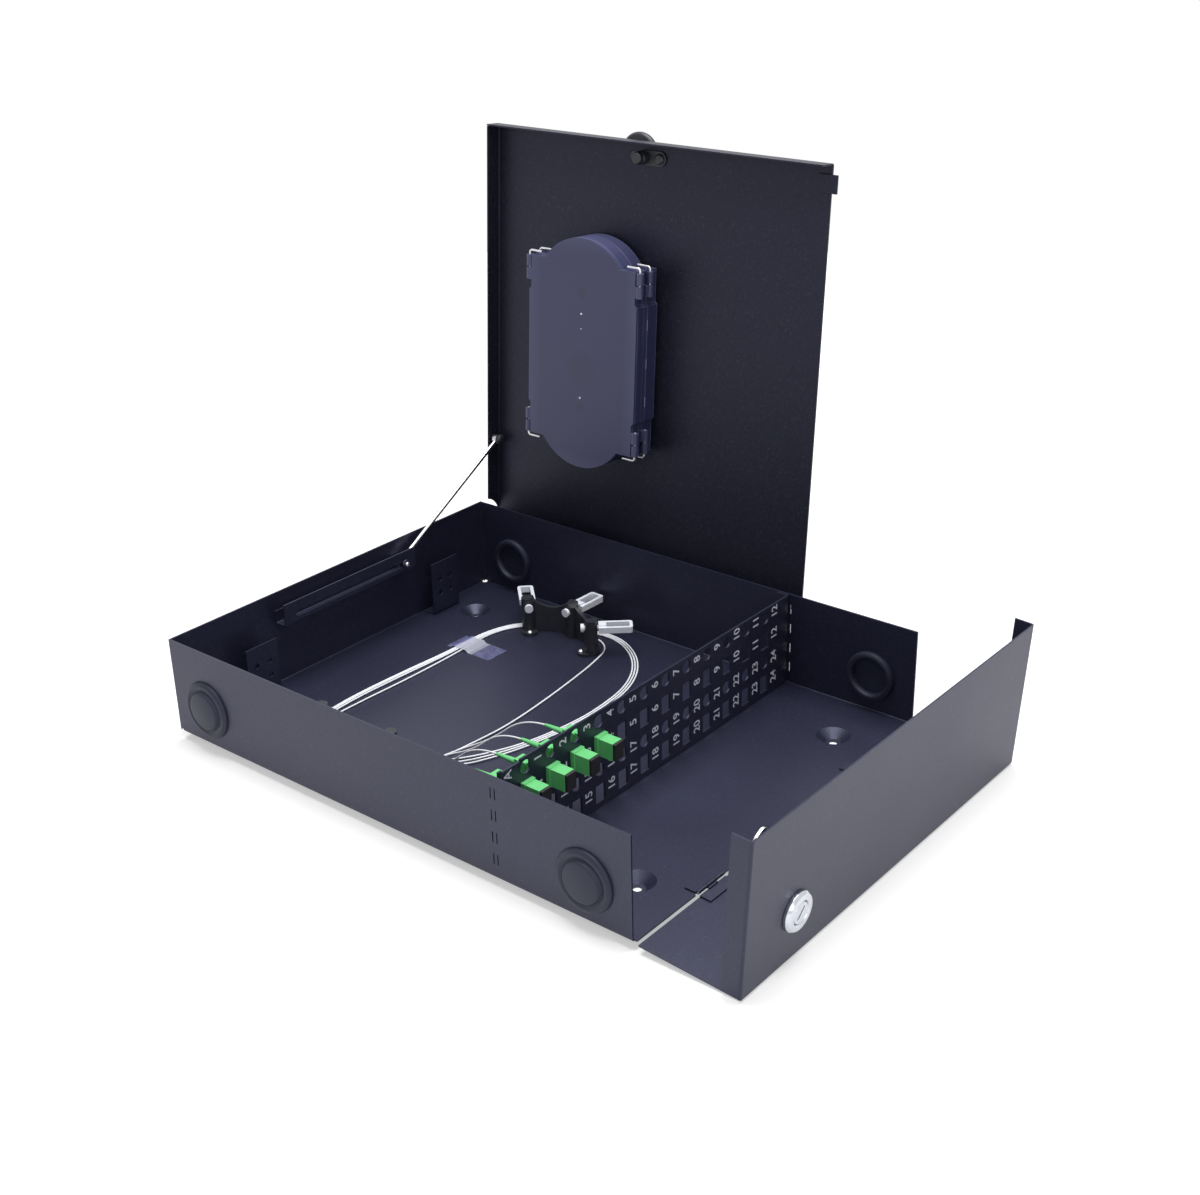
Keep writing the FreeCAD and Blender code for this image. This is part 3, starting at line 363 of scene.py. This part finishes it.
for side, way in (("rear", 1.0), ("near", -1.0)):
    for number, turn in ((1, math.radians(136.0)), (2, math.radians(41.0))):
        screw_x = guide_x + screw_ring * math.cos(turn)
        screw_y = way * (guide_y + screw_ring * math.sin(turn))
        turned("guide_screw_%s_%d" % (side, number), screw_head, (screw_x, screw_y, foot_top),
               (0.0, 0.0, 1.0), "box", bright, 32)

# Pigtails: thin white jacketed fibres that leave the boots, go round both guides and end bare.
# A strip of clear tape holds them to the floor.

jacket_clean = (0.92, 0.93, 0.98)
jacket_rubbed = (0.85, 0.86, 0.91)
jacket, tone = finish("white_jacket")
rub = noise(tone, 300.0, 3.0)
surfaced(tone, {"Base Color": rub.mixed(jacket_clean, jacket_rubbed),
                "Roughness": 0.4 + 0.15 * rub})
cord_d = 0.0013
# Routes are in millimetres, as they were laid out on the floor.
cord_z = 8.15
boot_end = 55.95
boot_z = 54.5
routes = (
    [(boot_end, -134, boot_z), (36, -134.4, 53), (8, -133, 30), (-22, -132.5, 12), (-56.3, -140.2, cord_z),
     (-105.7, -140.2, cord_z), (-140.6, -105.3, cord_z), (-146, -62, cord_z), (-144, -8, cord_z),
     (-139.6, 46, cord_z), (-140.3, 88.9, cord_z), (-128.2, 117.5, cord_z), (-103.4, 136.1, cord_z),
     (-72.7, 142, cord_z), (-42, 145.5, cord_z), (-7.2, 123.2, cord_z), (15, 86, cord_z),
     (20.4, 40, cord_z), (18.5, 10, cord_z), (11.8, -28, cord_z), (2, -58, cord_z), (-9, -80, cord_z),
     (-30, -101, cord_z)],
    [(boot_end, -109.8, boot_z), (36, -109.4, 53), (8, -104, 29), (-18, -108, 13), (-57.1, -138.3, cord_z),
     (-104.9, -138.3, cord_z), (-138.7, -104.5, cord_z), (-144.3, -62, cord_z), (-142.3, -8, cord_z),
     (-137.9, 46, cord_z), (-138.7, 88.7, cord_z), (-126.8, 116.4, cord_z), (-102.7, 134.5, cord_z),
     (-72.9, 140.2, cord_z), (-42.6, 143.5, cord_z), (-8.6, 121.6, cord_z), (13, 85, cord_z),
     (18.2, 40, cord_z), (16.3, 10, cord_z), (9.6, -27.4, cord_z), (-1.5, -57, cord_z),
     (-13.5, -78.5, cord_z), (-34, -99.5, cord_z)],
    [(boot_end, -85.6, boot_z), (36, -85.2, 53), (8, -83, 28), (-21, -86, 15), (-26, -110, 11),
     (-57.9, -136.3, cord_z), (-104.1, -136.3, cord_z), (-136.7, -103.7, cord_z), (-142, -62, cord_z),
     (-139.8, -8, cord_z), (-136.2, 46, cord_z), (-137.1, 88.5, cord_z), (-125.4, 115.3, cord_z),
     (-102, 132.9, cord_z), (-73.1, 138.4, cord_z), (-43.2, 141.5, cord_z), (-10, 120, cord_z),
     (11, 84, cord_z), (16, 40, cord_z), (14.2, 10, cord_z), (7.4, -26.8, cord_z), (-5, -56, cord_z),
     (-19, -77.5, cord_z), (-38, -98, cord_z)],
    [(boot_end, -61.4, boot_z), (36, -61.8, 53), (8, -65, 28), (-17, -72, 15), (-29, -106, 11),
     (-58.7, -134.4, cord_z), (-103.3, -134.4, cord_z), (-134.8, -102.9, cord_z), (-135, -62, cord_z),
     (-132.4, -8, cord_z), (-132.6, 46, cord_z), (-135.5, 88.3, cord_z), (-124, 114.2, cord_z),
     (-101.3, 131.3, cord_z), (-73.3, 136.6, cord_z), (-42, 127.5, cord_z), (-34, 98, cord_z),
     (-28.6, 62, cord_z), (-24.6, 29, cord_z), (-21.5, -8, cord_z), (-22, -38, cord_z), (-27, -78, cord_z)],
)
cord_lengths = (0.820, 0.819, 0.823, 0.756)
for i, (route, length) in enumerate(zip(routes, cord_lengths)):
    line = bpy.data.curves.new("fibre_%d" % (i + 1), "CURVE")
    line.dimensions = "3D"
    line.bevel_depth = cord_d / 2
    line.bevel_resolution = 4
    line.use_fill_caps = True
    line.resolution_u = 10
    strand = line.splines.new("NURBS")
    strand.points.add(len(route) - 1)
    for point, (x, y, z) in zip(strand.points, route):
        point.co = (x / 1000, y / 1000, z / 1000, 1.0)
    strand.order_u = 3
    strand.use_endpoint_u = True
    line.materials.append(jacket)
    fibre = bpy.data.objects.new("fibre_%d" % (i + 1), line)
    bpy.context.scene.collection.objects.link(fibre)
    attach(fibre, "box")
    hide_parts("pigtail_%d" % (i + 1))
tape_ridge = -0.131
ridge_half = 0.008
ridge_foot = 0.010
ridge_white = (0.66, 0.67, 0.80)
film_deep = (0.20, 0.21, 0.52)
film_hazy = (0.46, 0.48, 0.80)
film, tone = finish("clear_tape")
haze = noise(tone, 140.0, 4.0)
place = tone.node("TexCoord", {}, {}).pick("Object")
off_ridge = tone.node("SeparateXYZ", {}, {0: place}).pick("X") - tape_ridge
lifted = tone.node("MapRange", {}, {"Value": tone.maths("ABSOLUTE", off_ridge, 0.0), "From Min": ridge_half,
                                    "From Max": ridge_foot, "To Min": 1.0, "To Max": 0.0})
film_blue = haze.mixed(film_deep, film_hazy)
surfaced(tone, {"Base Color": lifted.mixed(film_blue, ridge_white), "Roughness": 0.12 + 0.2 * haze,
                "Alpha": 0.16 + 0.3 * haze + 0.14 * lifted})
eased("tape_film", "tape_strip", "box", film, 0.00003, 1)

# Lid: folded plate with flanges inside the left and near walls and one behind the rear wall, which
# carries two butt hinges. Its powder coat is a shaded copy of the shell's, more matt and a little
# less blue, which paints shade onto the lid.

# Painted shade: the lid's coat copies the shell's with half its shine and a little less blue, so that the
# lid looks darker.
lid_shade_dark = (0.006, 0.0065, 0.013)
lid_shade_pale = (0.019, 0.020, 0.034)
lid_shaded_coat = powder_coat("shaded_matt_powder_coat", lid_shade_dark, lid_shade_pale, 0.35, 0.34)
for name, node in (("lid_sheet", "lid_panel"), ("lid_leaf", "lid_hinge_leaves"), ("keeper", "keeper_tab")):
    eased(name, node, "lid", lid_shaded_coat, sheet_edge)
eased("wall_leaf", "lid_hinge_wall_leaves", "box", coat, 0.0002)
eased("lid_hinge_wire", "lid_hinge_pins", "box", bright, 0.0002)

# Knob: black moulded pull on the lid's free edge. A nut holds its shank over an oval backing
# plate inside the lid, and a screw keeps the plate from turning.

eased("knob_pull", "lid_knob", "lid", guide_black, 0.0005)
eased("knob_back", "knob_plate", "lid", guide_black, 0.0003)
eased("knob_hex", "knob_nut", "lid", guide_black, 0.0004)
eased("knob_bolt", "knob_screw", "lid", guide_black, 0.0003)

# Stay: bright drawn steel rod that hangs on a stud on the lid's flange and holds the lid up.
# Its foot rides on a coated pin with a bright end, which slides in the slotted channel.

eased("stay_dome", "stay_stud", "lid", guide_black, 0.0003)
drawn_dull = (0.46, 0.46, 0.47)
drawn_clean = (0.58, 0.58, 0.60)
drawn_steel, tone = finish("drawn_steel")
drawn = noise(tone, 300.0, 3.0)
surfaced(tone, {"Base Color": drawn.mixed(drawn_dull, drawn_clean), "Metallic": 1.0,
                "Roughness": 0.12 + 0.12 * drawn})
eased("stay_wire", "stay_rod", "stay_rod", drawn_steel, 0.0002)
eased("stay_slider", "stay_pin", "stay_pin", coat, 0.0002)
slider_end = [(0.0001, -0.0008), (0.0020, -0.0008), (0.0020, 0.0003), (0.0016, 0.0008), (0.0009, 0.0011),
              (0.0001, 0.0012)]
slider_tip = (-0.1963, 0.060, 0.0635)
turned("stay_slider_end", slider_end, slider_tip, (1.0, 0.0, 0.0), "stay_pin", bright, 32)

# Splice cassette: two smoky trays and a cover moulded in translucent plastic, hinged together on
# bent steel wires at the corners and stood off the lid on four feet. Rims, rounded edges, seams and
# clips are made paler by painted highlights, and the sides darker by painted shade.

hinge_y = 0.1673
hinge_z = 0.0645
lean = math.radians(94.1)
cassette_x = -0.096
cassette_y = 0.0023
cover_z = 0.0513
seam_z = 0.0653
cassette_half = 0.0535
cassette_apex = 0.0907
cassette_deep = 0.026


def on_lid(x, y, z):
    """Point of the shut lid, turned up with it by the lean about its hinge."""
    y, z = y - hinge_y, z - hinge_z
    cosine, sine = math.cos(lean), math.sin(lean)
    return (x, hinge_y + y * cosine + z * sine, hinge_z - y * sine + z * cosine)


smoke_dark = (0.050, 0.054, 0.134)
smoke_pale = (0.072, 0.076, 0.170)
smoke_shade = (0.028, 0.029, 0.052)
smoke_rim_highlight = (0.110, 0.116, 0.24)
smoke_side_shade = (0.016, 0.018, 0.066)
smoke_seam_highlight = (0.20, 0.21, 0.40)
shaded_spots = ((-0.049, 0.0055), (0.041, 0.005), (0.010, 0.016))
smoke, tone = finish("smoke_plastic")
flow = noise(tone, 26.0, 4.0)
place = tone.node("TexCoord", {}, {}).pick("Object")
colour = flow.mixed(smoke_dark, smoke_pale)
for along, reach in shaded_spots:
    far = tone.node("VectorMath", {"operation": "DISTANCE"},
                    {0: place, 1: on_lid(cassette_x, cassette_y + along, cover_z)}).pick("Value")
    shade = tone.node("MapRange", {}, {"Value": far, "From Min": reach * 0.6, "From Max": reach,
                                       "To Min": 0.28, "To Max": 0.0})
    colour = shade.mixed(colour, smoke_shade)
out_of_lid = np.subtract(on_lid(0.0, 0.0, 0.0), on_lid(0.0, 0.0, 1.0))
up_lid = np.subtract(on_lid(0.0, 0.0, 0.0), on_lid(0.0, 1.0, 0.0))
middle = np.array(on_lid(cassette_x, cassette_y, cover_z))


def reach_from_middle(way):
    """Distance from the middle of the cover along a direction: the dot product less the middle's own."""
    return tone.node("VectorMath", {"operation": "DOT_PRODUCT"},
                     {0: place, 1: tuple(way)}).pick("Value") - float(middle @ way)


# Painted highlight: the cover pales towards its outline, across it and along it.
for way, start, end in (((1.0, 0.0, 0.0), 0.041, cassette_half), (up_lid, 0.079, cassette_apex)):
    aside = tone.maths("ABSOLUTE", reach_from_middle(np.array(way)), 0.0)
    rim_highlight = tone.node("MapRange", {}, {"Value": aside, "From Min": start, "From Max": end,
                                     "To Min": 0.0, "To Max": 0.6})
    colour = rim_highlight.mixed(colour, smoke_rim_highlight)
# Painted shade: all that lies more than a millimetre behind the cover's face, short of the rounded end, is
# darkened.
behind = reach_from_middle(-out_of_lid)
side_shade = tone.node("MapRange", {}, {"Value": behind, "From Min": 0.0004, "From Max": 0.0010,
                                     "To Min": 0.0, "To Max": 0.75})
below_dome = tone.node("MapRange", {}, {"Value": reach_from_middle(up_lid), "From Min": 0.068,
                                        "From Max": 0.074, "To Min": 1.0, "To Max": 0.0})
colour = (side_shade * below_dome).mixed(colour, smoke_side_shade)
# Painted highlight: pale streaky bands at the joints between trays and cover, down the sides.
seam_highlight_shares = ((0.0, 0.0), (0.06, 0.1), (0.085, 1.0), (0.12, 0.1), (0.30, 0.0), (0.36, 0.4),
               (0.42, 0.0), (0.51, 0.2), (0.54, 1.0), (0.58, 0.0), (0.93, 0.1), (1.0, 0.8))
seams = tone.node("ValToRGB", {"stops": [(deep, (share, share, share)) for deep, share in seam_highlight_shares]},
                  {"Fac": behind * (1.0 / cassette_deep)})
sheen = tone.node("SeparateColor", {}, {0: seams}).pick(0) * noise(tone, 60.0, 2.0)
colour = sheen.mixed(colour, smoke_seam_highlight)
surfaced(tone, {"Base Color": colour, "Roughness": 0.34 + 0.2 * flow, "Transmission Weight": 0.2,
                "IOR": 1.49})
# Painted highlight: a pale material for the cassette's rounded edges and for its clip ridges.
edge_highlight_dark = (0.12, 0.125, 0.26)
edge_highlight_pale = (0.21, 0.215, 0.38)
smoke_edge_highlight, tone = finish("smoke_edge_highlight")
flow = noise(tone, 90.0, 3.0)
surfaced(tone, {"Base Color": flow.mixed(edge_highlight_dark, edge_highlight_pale), "Roughness": 0.25 + 0.2 * flow})
for name, node in (("cassette_floor", "cassette_base"), ("cassette_middle", "cassette_tray"),
                   ("cassette_lid", "cassette_cover")):
    eased(name, node, "lid", smoke, 0.0009, edge=smoke_edge_highlight)
pips = ((-0.0326, 0.0009), (-0.0209, 0.0005), (0.0341, 0.0009))
for number, (along, r) in enumerate(pips, 1):
    pip = [(0.0001, -0.0003), (r, -0.0003), (r, 0.0002), (r * 0.6, 0.0005), (0.0001, 0.0006)]
    turned("cassette_pip_%d" % number, pip, on_lid(cassette_x, cassette_y + along, cover_z), out_of_lid,
           "lid", gate_white, 24)
# The clip ridges take the pale edge material as a painted highlight along them.
clip = [(0.0001, -0.004), (0.0005, -0.004), (0.0005, 0.004), (0.0001, 0.004)]
clip_places = (-0.030, 0.0, 0.030)
for number, along in enumerate(clip_places, 1):
    for side, way in (("left", -1.0), ("right", 1.0)):
        seat = on_lid(cassette_x + way * cassette_half, cassette_y + along, seam_z)
        turned("cassette_clip_%s_%d" % (side, number), clip, seat, up_lid, "lid",
               smoke_edge_highlight, 12)
eased("cassette_wires", "cassette_wire_pins", "lid", bright, 0.0002)

# Door: floor section, upright panel and side flanges folded from one sheet and coated like the
# shell. It swings on two butt hinges whose leaves lie flat on both floors; their rounded edges are
# painted near black as the shade in the gaps around them.

eased("door_sheet", "door_cover", "door", coat, sheet_edge)
# Painted shade: the hinge leaves' rounded edges are near black, standing for the shade in the gaps around
# them.
gap_shade_dark = (0.002, 0.002, 0.003)
gap_shade_pale = (0.008, 0.008, 0.011)
leaf_gap_shade, tone = finish("leaf_gap_shade")
shade_mottle = noise(tone, 700.0, 3.0)
surfaced(tone, {"Base Color": shade_mottle.mixed(gap_shade_dark, gap_shade_pale), "Roughness": 0.6 + 0.2 * shade_mottle})
eased("door_leaf", "door_hinge_leaves", "door", coat, 0.0004, edge=leaf_gap_shade)
eased("floor_leaf", "door_hinge_floor_leaves", "box", coat, 0.0004, edge=leaf_gap_shade)
eased("door_hinge_wire", "door_hinge_pins", "box", bright, 0.0002)

# Cam lock: polished bezel and barrel through the door, a plug that the key turns, and a cranked
# steel strap on its inner end that reaches under the lid's keeper.

chrome_dull = (0.54, 0.56, 0.61)
chrome_clean = (0.64, 0.66, 0.71)
chrome, tone = finish("polished_chrome")
smear = noise(tone, 210.0, 4.0)
surfaced(tone, {"Base Color": smear.mixed(chrome_dull, chrome_clean), "Metallic": 1.0,
                "Roughness": 0.08 + 0.16 * smear})
eased("lock_case", "lock_body", "door", chrome, 0.0004, 3)
eased("lock_hex", "lock_nut", "door", bright, 0.0003)
eased("lock_core", "lock_plug", "lock", chrome, 0.0002)
eased("lock_strap", "lock_cam", "lock", bright, 0.0003)
eased("strap_screw", "cam_screw", "lock", bright, 0.0003)

# Studio: round sheet of white paper, brighter towards its edge to the eye alone, and white
# surroundings. A large soft lamp hangs overhead and a small one stands at the door's side.


def seen_by_eye(tone):
    """One for rays from the camera, off mirrors and through glass, nought for light on other things."""
    ray = tone.node("LightPath", {}, {})
    seen = tone.maths("MAXIMUM", ray.pick("Is Camera Ray"), ray.pick("Is Transmission Ray"))
    return tone.maths("MAXIMUM", seen, ray.pick("Is Glossy Ray"))


paper_radius = 1.5
paper_z = -0.0003
paper_steps = 96
paper_grey = (0.68, 0.68, 0.68)
paper_pale = (0.70, 0.70, 0.70)
paper, tone = finish("paper_floor")
mottle = noise(tone, 3.0)
place = tone.node("TexCoord", {}, {}).pick("Object")
away = tone.node("VectorMath", {"operation": "LENGTH"}, {0: place}).pick("Value")
glow = tone.node("MapRange", {}, {"Value": away, "From Min": 0.45, "From Max": paper_radius,
                                  "To Min": 0.45, "To Max": 0.85})
surfaced(tone, {"Base Color": mottle.mixed(paper_grey, paper_pale), "Roughness": 0.9,
                "Emission Color": (glow * seen_by_eye(tone)).mixed((0.0, 0.0, 0.0), (1.0, 1.0, 1.0)),
                "Emission Strength": 1.0})
turn = np.linspace(0.0, 2.0 * math.pi, paper_steps, endpoint=False)
paper_rim = np.stack([paper_radius * np.cos(turn), paper_radius * np.sin(turn),
                      np.full(paper_steps, paper_z)], axis=1)
floor_mesh = bpy.data.meshes.new("floor")
floor_mesh.from_pydata(paper_rim.tolist(), [], [list(range(paper_steps))])
floor_mesh.materials.append(paper)
floor = bpy.data.objects.new("floor", floor_mesh)
bpy.context.scene.collection.objects.link(floor)
world = bpy.data.worlds.new("studio")
bpy.context.scene.world = world
world.use_nodes = True
world.node_tree.nodes.clear()
tone = Tone(world.node_tree)
plain = tone.node("Background", {}, {"Color": (1.0, 1.0, 1.0), "Strength": 0.20 + 0.80 * seen_by_eye(tone)})
tone.node("OutputWorld", {}, {"Surface": plain})


def lamp(name, place, aim, size, power):
    """Square soft lamp at a place, turned to face a point."""
    light = bpy.data.lights.new(name, "AREA")
    light.size = size
    light.energy = power
    holder = bpy.data.objects.new(name, light)
    away = np.array(place, float) - np.array(aim, float)
    away = away / np.linalg.norm(away)
    right = np.cross((0.0, 0.0, 1.0), away)
    right = right / np.linalg.norm(right)
    up = np.cross(away, right)
    turn = np.eye(4)
    turn[:3, 0], turn[:3, 1], turn[:3, 2], turn[:3, 3] = right, up, away, place
    holder.matrix_world = Matrix(turn.tolist())
    bpy.context.scene.collection.objects.link(holder)


lamp("overhead", (0.1, 0.20, 2.2), (0.1, 0.19, 0.0), 1.6, 64.0)
lamp("side", (1.5, -1.0, 0.9), (0.1, 0.0, 0.05), 1.0, 5.0)

# Camera: where the photograph was taken from, as fitted to the corners of the box. The angles are
# the azimuth from the front, the elevation and the roll, in degrees.

camera_place = np.array((0.73073, -0.80905, 0.61878))
azimuth, elevation, roll = np.radians((39.83, 25.04, -1.434))
back = np.array((math.sin(azimuth) * math.cos(elevation), -math.cos(azimuth) * math.cos(elevation),
                 math.sin(elevation)))
right = np.cross(-back, (0.0, 0.0, 1.0))
right = right / np.linalg.norm(right)
up = np.cross(right, -back)
right, up = math.cos(roll) * right + math.sin(roll) * up, math.cos(roll) * up - math.sin(roll) * right
lens = bpy.data.cameras.new("photo_view")
lens.sensor_fit = "HORIZONTAL"
lens.sensor_width = 36.0
lens.lens = 50.96
lens.clip_start = 0.01
camera = bpy.data.objects.new("photo_view", lens)
turn = np.eye(4)
turn[:3, 0], turn[:3, 1], turn[:3, 2], turn[:3, 3] = right, up, back, camera_place
camera.matrix_world = Matrix(turn.tolist())
bpy.context.scene.collection.objects.link(camera)
bpy.context.scene.camera = camera
bpy.context.scene.view_settings.view_transform = "Standard"
